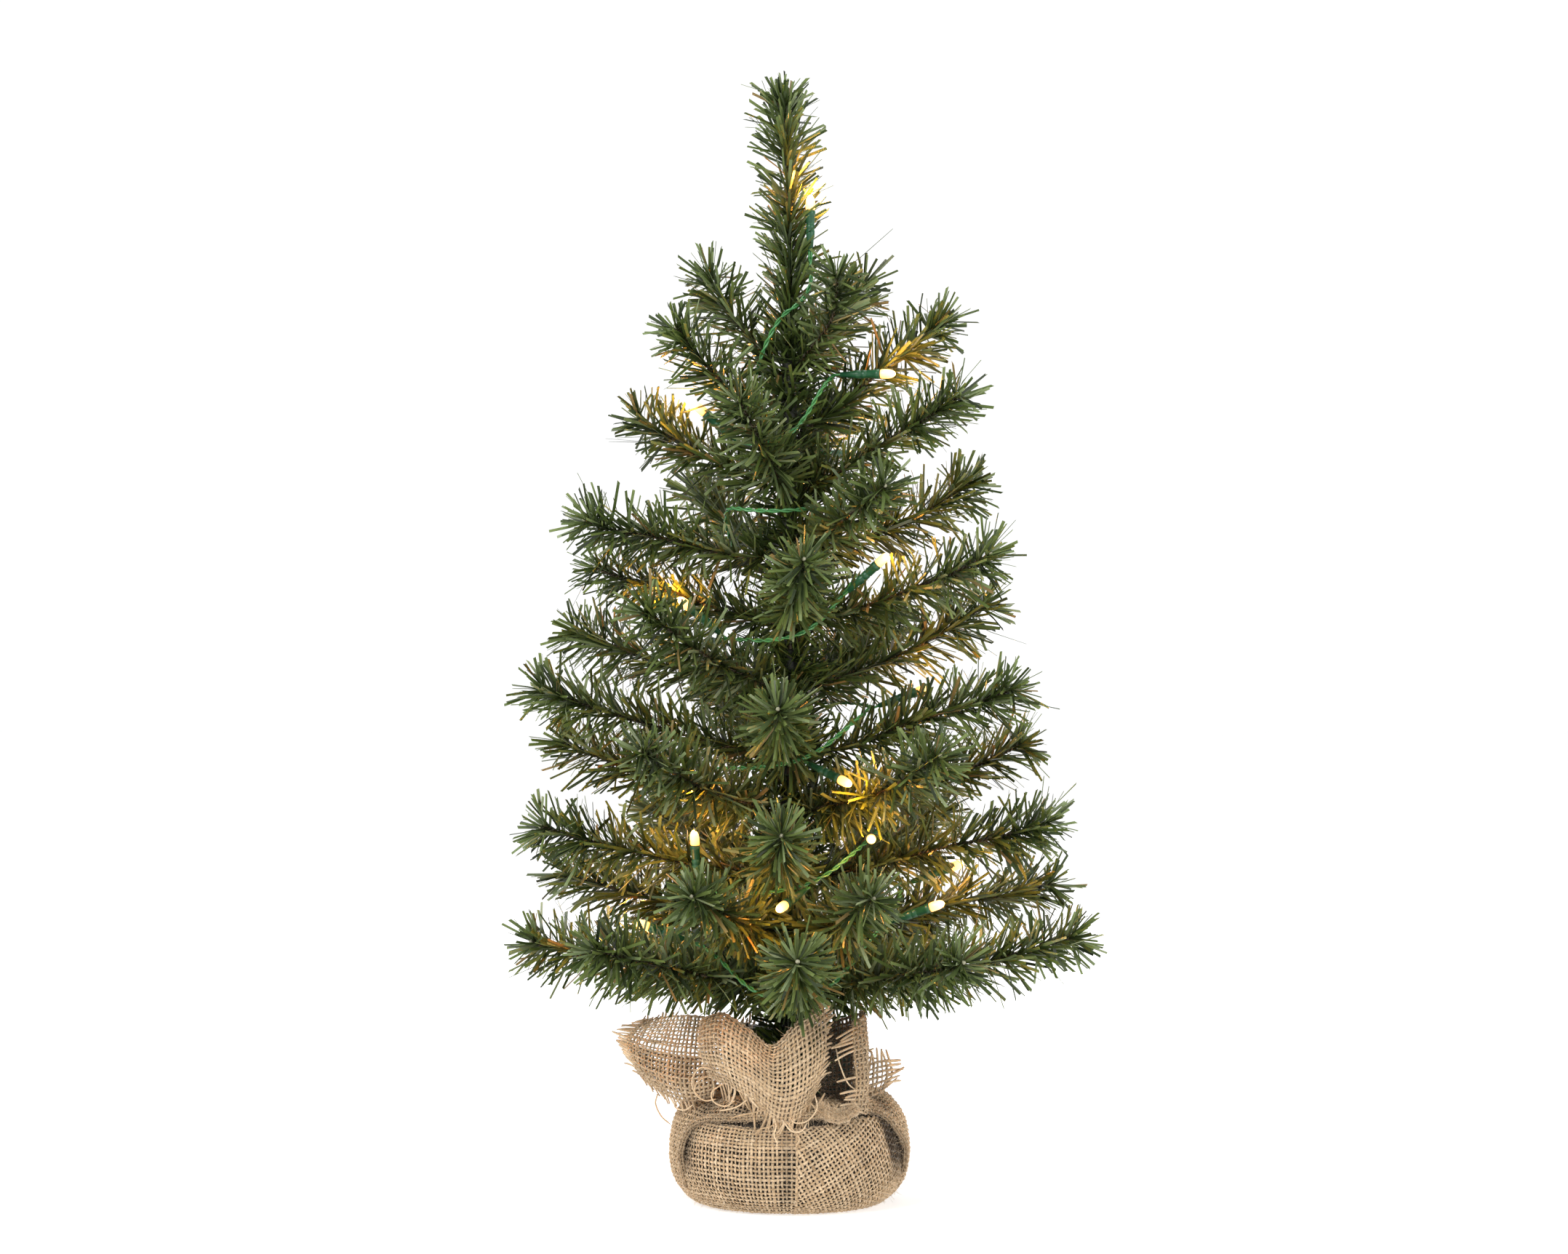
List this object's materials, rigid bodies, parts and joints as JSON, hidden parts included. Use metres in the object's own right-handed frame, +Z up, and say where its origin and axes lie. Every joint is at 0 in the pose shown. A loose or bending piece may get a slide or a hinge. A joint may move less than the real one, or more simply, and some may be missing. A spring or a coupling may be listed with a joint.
{
  "type": "artificial tabletop tree",
  "caption": "Small pre-lit artificial Christmas tree with bendable needle branches, a wound warm-white light string and a burlap sack around its weighted base.",
  "frame": {"origin": "centre of the sack's flat underside", "axes": "+Z up along the trunk, front towards -Y, +X to the viewer's right"},
  "size_m": [0.3131, 0.2766, 0.6],
  "materials": {
    "needles": "glossy cut PVC strip, clamped in twisted wire",
    "leader_needles": "glossy cut PVC strip",
    "stem_wire": "green lacquered steel wire",
    "binding": "green lacquered wire",
    "trunk": "brown painted steel",
    "burlap": "open plain-weave jute",
    "concrete": "matte cast concrete",
    "case_plastic": "moulded dark green plastic",
    "cover_plastic": "moulded dark green plastic",
    "knob_plastic": "moulded black plastic",
    "cells": "plain sleeve over a metal can",
    "contacts": "nickel-plated strip",
    "cable": "glossy green PVC insulation",
    "sockets": "glossy green moulding",
    "bulbs": "lit warm-white lamp"
  },
  "bodies": {
    "root": {"concrete_base": "concrete", "trunk_pole": "trunk", "branch_legs": "stem_wire", "binding_wire": "binding", "leader_stem": "stem_wire", "leader_needles": "leader_needles", "burlap_sack": "burlap", "sack_ruffle": "burlap", "battery_case": "case_plastic", "battery_cells": "cells", "battery_contacts": "contacts", "light_cable": "cable", "led_sockets": "sockets", "led_bulbs": "bulbs"},
    "battery_cover": {"battery_cover": "cover_plastic"},
    "switch_knob": {"switch_knob": "knob_plastic"},
    "branch_01": {"branch_01": "needles"},
    "branch_02": {"branch_02": "needles"},
    "branch_03": {"branch_03": "needles"},
    "branch_04": {"branch_04": "needles"},
    "branch_05": {"branch_05": "needles"},
    "branch_06": {"branch_06": "needles"},
    "branch_07": {"branch_07": "needles"},
    "branch_08": {"branch_08": "needles"},
    "branch_09": {"branch_09": "needles"},
    "branch_10": {"branch_10": "needles"},
    "branch_11": {"branch_11": "needles"},
    "branch_12": {"branch_12": "needles"},
    "branch_13": {"branch_13": "needles"},
    "branch_14": {"branch_14": "needles"},
    "branch_15": {"branch_15": "needles"},
    "branch_16": {"branch_16": "needles"},
    "branch_17": {"branch_17": "needles"},
    "branch_18": {"branch_18": "needles"},
    "branch_19": {"branch_19": "needles"},
    "branch_20": {"branch_20": "needles"},
    "branch_21": {"branch_21": "needles"},
    "branch_22": {"branch_22": "needles"},
    "branch_23": {"branch_23": "needles"},
    "branch_24": {"branch_24": "needles"},
    "branch_25": {"branch_25": "needles"},
    "branch_26": {"branch_26": "needles"},
    "branch_27": {"branch_27": "needles"},
    "branch_28": {"branch_28": "needles"},
    "branch_29": {"branch_29": "needles"},
    "branch_30": {"branch_30": "needles"},
    "branch_31": {"branch_31": "needles"},
    "branch_32": {"branch_32": "needles"},
    "branch_33": {"branch_33": "needles"},
    "branch_34": {"branch_34": "needles"},
    "branch_35": {"branch_35": "needles"},
    "branch_36": {"branch_36": "needles"},
    "branch_37": {"branch_37": "needles"},
    "branch_38": {"branch_38": "needles"},
    "branch_39": {"branch_39": "needles"},
    "branch_40": {"branch_40": "needles"},
    "branch_41": {"branch_41": "needles"},
    "branch_42": {"branch_42": "needles"},
    "branch_43": {"branch_43": "needles"},
    "branch_44": {"branch_44": "needles"}
  },
  "joints": [
    {"name": "bend_01", "type": "hinge", "parent": "root", "child": "branch_01", "pos_m": [0.00532, -0.00094, 0.114], "axis": [-0.1736, -0.9848, 0], "range_deg": [-10, 15], "deforming": ["light_cable"]},
    {"name": "bend_02", "type": "hinge", "parent": "root", "child": "branch_02", "pos_m": [0.00332, -0.00426, 0.114], "axis": [-0.788, -0.6157, 0], "range_deg": [-10, 15], "deforming": ["light_cable"]},
    {"name": "bend_03", "type": "hinge", "parent": "root", "child": "branch_03", "pos_m": [0.00019, -0.0054, 0.114], "axis": [-0.9994, -0.0349, 0], "range_deg": [-10, 15], "deforming": ["light_cable"]},
    {"name": "bend_04", "type": "hinge", "parent": "root", "child": "branch_04", "pos_m": [-0.00388, -0.00375, 0.114], "axis": [-0.6947, 0.7193, 0], "range_deg": [-10, 15], "deforming": ["light_cable"]},
    {"name": "bend_05", "type": "hinge", "parent": "root", "child": "branch_05", "pos_m": [-0.00537, -0.00056, 0.114], "axis": [-0.1045, 0.9945, 0], "range_deg": [-10, 15], "deforming": ["light_cable"]},
    {"name": "bend_06", "type": "hinge", "parent": "root", "child": "branch_06", "pos_m": [-0.00302, 0.00448, 0.114], "axis": [0.829, 0.5592, 0], "range_deg": [-10, 15], "deforming": ["light_cable"]},
    {"name": "bend_07", "type": "hinge", "parent": "root", "child": "branch_07", "pos_m": [0.00317, 0.00437, 0.114], "axis": [0.809, -0.5878, 0], "range_deg": [-10, 15], "deforming": ["light_cable"]},
    {"name": "bend_08", "type": "hinge", "parent": "root", "child": "branch_08", "pos_m": [0.00524, 0.00131, 0.142], "axis": [0.2419, -0.9703, 0], "range_deg": [-10, 15], "deforming": ["light_cable"]},
    {"name": "bend_09", "type": "hinge", "parent": "root", "child": "branch_09", "pos_m": [-0.00514, 0.00167, 0.142], "axis": [0.309, 0.9511, 0], "range_deg": [-10, 15], "deforming": ["light_cable"]},
    {"name": "bend_10", "type": "hinge", "parent": "root", "child": "branch_10", "pos_m": [-0.00202, -0.00501, 0.142], "axis": [-0.9272, 0.3746, 0], "range_deg": [-10, 15], "deforming": ["light_cable"]},
    {"name": "bend_11", "type": "hinge", "parent": "root", "child": "branch_11", "pos_m": [0.00185, -0.00507, 0.142], "axis": [-0.9397, -0.342, 0], "range_deg": [-10, 15], "deforming": ["light_cable"]},
    {"name": "bend_12", "type": "hinge", "parent": "root", "child": "branch_12", "pos_m": [0.00514, -0.00167, 0.172], "axis": [-0.309, -0.9511, 0], "range_deg": [-10, 15], "deforming": ["light_cable"]},
    {"name": "bend_13", "type": "hinge", "parent": "root", "child": "branch_13", "pos_m": [0.00361, 0.00401, 0.172], "axis": [0.7431, -0.6691, 0], "range_deg": [-10, 15], "deforming": ["light_cable"]},
    {"name": "bend_14", "type": "hinge", "parent": "root", "child": "branch_14", "pos_m": [-0.00317, 0.00437, 0.172], "axis": [0.809, 0.5878, 0], "range_deg": [-10, 15], "deforming": ["light_cable"]},
    {"name": "bend_15", "type": "hinge", "parent": "root", "child": "branch_15", "pos_m": [-0.00524, -0.00131, 0.172], "axis": [-0.2419, 0.9703, 0], "range_deg": [-10, 15], "deforming": ["light_cable"]},
    {"name": "bend_16", "type": "hinge", "parent": "root", "child": "branch_16", "pos_m": [-0.00019, -0.0054, 0.172], "axis": [-0.9994, 0.0349, 0], "range_deg": [-10, 15], "deforming": ["light_cable"]},
    {"name": "bend_17", "type": "hinge", "parent": "root", "child": "branch_17", "pos_m": [0.00535, 0.00075, 0.204], "axis": [0.1392, -0.9903, 0], "range_deg": [-10, 15], "deforming": ["light_cable"]},
    {"name": "bend_18", "type": "hinge", "parent": "root", "child": "branch_18", "pos_m": [-0.00528, 0.00112, 0.204], "axis": [0.2079, 0.9781, 0], "range_deg": [-10, 15], "deforming": ["light_cable"]},
    {"name": "bend_19", "type": "hinge", "parent": "root", "child": "branch_19", "pos_m": [-0.00332, -0.00426, 0.204], "axis": [-0.788, 0.6157, 0], "range_deg": [-10, 15], "deforming": ["light_cable"]},
    {"name": "bend_20", "type": "hinge", "parent": "root", "child": "branch_20", "pos_m": [0.00347, -0.00414, 0.204], "axis": [-0.766, -0.6428, 0], "range_deg": [-10, 15], "deforming": ["light_cable"]},
    {"name": "bend_21", "type": "hinge", "parent": "root", "child": "branch_21", "pos_m": [0.00507, -0.00185, 0.236], "axis": [-0.342, -0.9397, 0], "range_deg": [-10, 15], "deforming": ["light_cable"]},
    {"name": "bend_22", "type": "hinge", "parent": "root", "child": "branch_22", "pos_m": [-0.00185, 0.00507, 0.236], "axis": [0.9397, 0.342, 0], "range_deg": [-10, 15], "deforming": ["light_cable"]},
    {"name": "bend_23", "type": "hinge", "parent": "root", "child": "branch_23", "pos_m": [-0.00519, -0.00149, 0.236], "axis": [-0.2756, 0.9613, 0], "range_deg": [-10, 15], "deforming": ["light_cable"]},
    {"name": "bend_24", "type": "hinge", "parent": "root", "child": "branch_24", "pos_m": [-0.00038, -0.00539, 0.236], "axis": [-0.9976, 0.0698, 0], "range_deg": [-10, 15], "deforming": ["light_cable"]},
    {"name": "bend_25", "type": "hinge", "parent": "root", "child": "branch_25", "pos_m": [0.00528, 0.00112, 0.27], "axis": [0.2079, -0.9781, 0], "range_deg": [-10, 15], "deforming": ["light_cable"]},
    {"name": "bend_26", "type": "hinge", "parent": "root", "child": "branch_26", "pos_m": [0.00286, 0.00458, 0.27], "axis": [0.848, -0.5299, 0], "range_deg": [-10, 15], "deforming": ["light_cable"]},
    {"name": "bend_27", "type": "hinge", "parent": "root", "child": "branch_27", "pos_m": [-0.00519, 0.00149, 0.27], "axis": [0.2756, 0.9613, 0], "range_deg": [-10, 15], "deforming": ["light_cable"]},
    {"name": "bend_28", "type": "hinge", "parent": "root", "child": "branch_28", "pos_m": [-0.00375, -0.00388, 0.27], "axis": [-0.7193, 0.6947, 0], "range_deg": [-10, 15], "deforming": ["light_cable"]},
    {"name": "bend_29", "type": "hinge", "parent": "root", "child": "branch_29", "pos_m": [0.00493, -0.0022, 0.306], "axis": [-0.4067, -0.9135, 0], "range_deg": [-10, 15], "deforming": ["light_cable"]},
    {"name": "bend_30", "type": "hinge", "parent": "root", "child": "branch_30", "pos_m": [-0.00532, -0.00094, 0.306], "axis": [-0.1736, 0.9848, 0], "range_deg": [-10, 15], "deforming": ["light_cable"]},
    {"name": "bend_31", "type": "hinge", "parent": "root", "child": "branch_31", "pos_m": [0.00038, -0.00539, 0.306], "axis": [-0.9976, -0.0698, 0], "range_deg": [-10, 15], "deforming": ["light_cable"]},
    {"name": "bend_32", "type": "hinge", "parent": "root", "child": "branch_32", "pos_m": [0.00532, 0.00094, 0.342], "axis": [0.1736, -0.9848, 0], "range_deg": [-10, 15], "deforming": ["light_cable"]},
    {"name": "bend_33", "type": "hinge", "parent": "root", "child": "branch_33", "pos_m": [-0.00286, 0.00458, 0.342], "axis": [0.848, 0.5299, 0], "range_deg": [-10, 15], "deforming": ["light_cable"]},
    {"name": "bend_34", "type": "hinge", "parent": "root", "child": "branch_34", "pos_m": [-0.00501, -0.00202, 0.342], "axis": [-0.3746, 0.9272, 0], "range_deg": [-10, 15], "deforming": ["light_cable"]},
    {"name": "bend_35", "type": "hinge", "parent": "root", "child": "branch_35", "pos_m": [0.00302, -0.00448, 0.342], "axis": [-0.829, -0.5592, 0], "range_deg": [-10, 15], "deforming": ["light_cable"]},
    {"name": "bend_36", "type": "hinge", "parent": "root", "child": "branch_36", "pos_m": [0.00485, -0.00237, 0.376], "axis": [-0.4384, -0.8988, 0], "range_deg": [-10, 15], "deforming": ["light_cable"]},
    {"name": "bend_37", "type": "hinge", "parent": "root", "child": "branch_37", "pos_m": [0.00149, 0.00519, 0.376], "axis": [0.9613, -0.2756, 0], "range_deg": [-10, 15], "deforming": ["light_cable"]},
    {"name": "bend_38", "type": "hinge", "parent": "root", "child": "branch_38", "pos_m": [-0.00535, 0.00075, 0.376], "axis": [0.1392, 0.9903, 0], "range_deg": [-10, 15], "deforming": ["light_cable"]},
    {"name": "bend_39", "type": "hinge", "parent": "root", "child": "branch_39", "pos_m": [-0.00202, -0.00501, 0.376], "axis": [-0.9272, 0.3746, 0], "range_deg": [-10, 15], "deforming": ["light_cable"]},
    {"name": "bend_40", "type": "hinge", "parent": "root", "child": "branch_40", "pos_m": [0.00537, 0.00056, 0.408], "axis": [0.1045, -0.9945, 0], "range_deg": [-10, 15], "deforming": ["light_cable"]},
    {"name": "bend_41", "type": "hinge", "parent": "root", "child": "branch_41", "pos_m": [-0.00485, -0.00237, 0.408], "axis": [-0.4384, 0.8988, 0], "range_deg": [-10, 15], "deforming": ["light_cable"]},
    {"name": "bend_42", "type": "hinge", "parent": "root", "child": "branch_42", "pos_m": [0.0027, -0.00468, 0.438], "axis": [-0.866, -0.5, 0], "range_deg": [-10, 15], "deforming": ["light_cable"]},
    {"name": "bend_43", "type": "hinge", "parent": "root", "child": "branch_43", "pos_m": [0.00437, 0.00317, 0.438], "axis": [0.5878, -0.809, 0], "range_deg": [-10, 15], "deforming": ["light_cable"]},
    {"name": "bend_44", "type": "hinge", "parent": "root", "child": "branch_44", "pos_m": [-0.00501, 0.00202, 0.438], "axis": [0.3746, 0.9272, 0], "range_deg": [-10, 15], "deforming": ["light_cable"]},
    {"name": "cover_slide", "type": "slide", "parent": "root", "child": "battery_cover", "axis": [1, 0, 0], "range_m": [0, 0.062]},
    {"name": "switch_slide", "type": "slide", "parent": "root", "child": "switch_knob", "axis": [1, 0, 0], "range_m": [0, 0.004]}
  ]
}
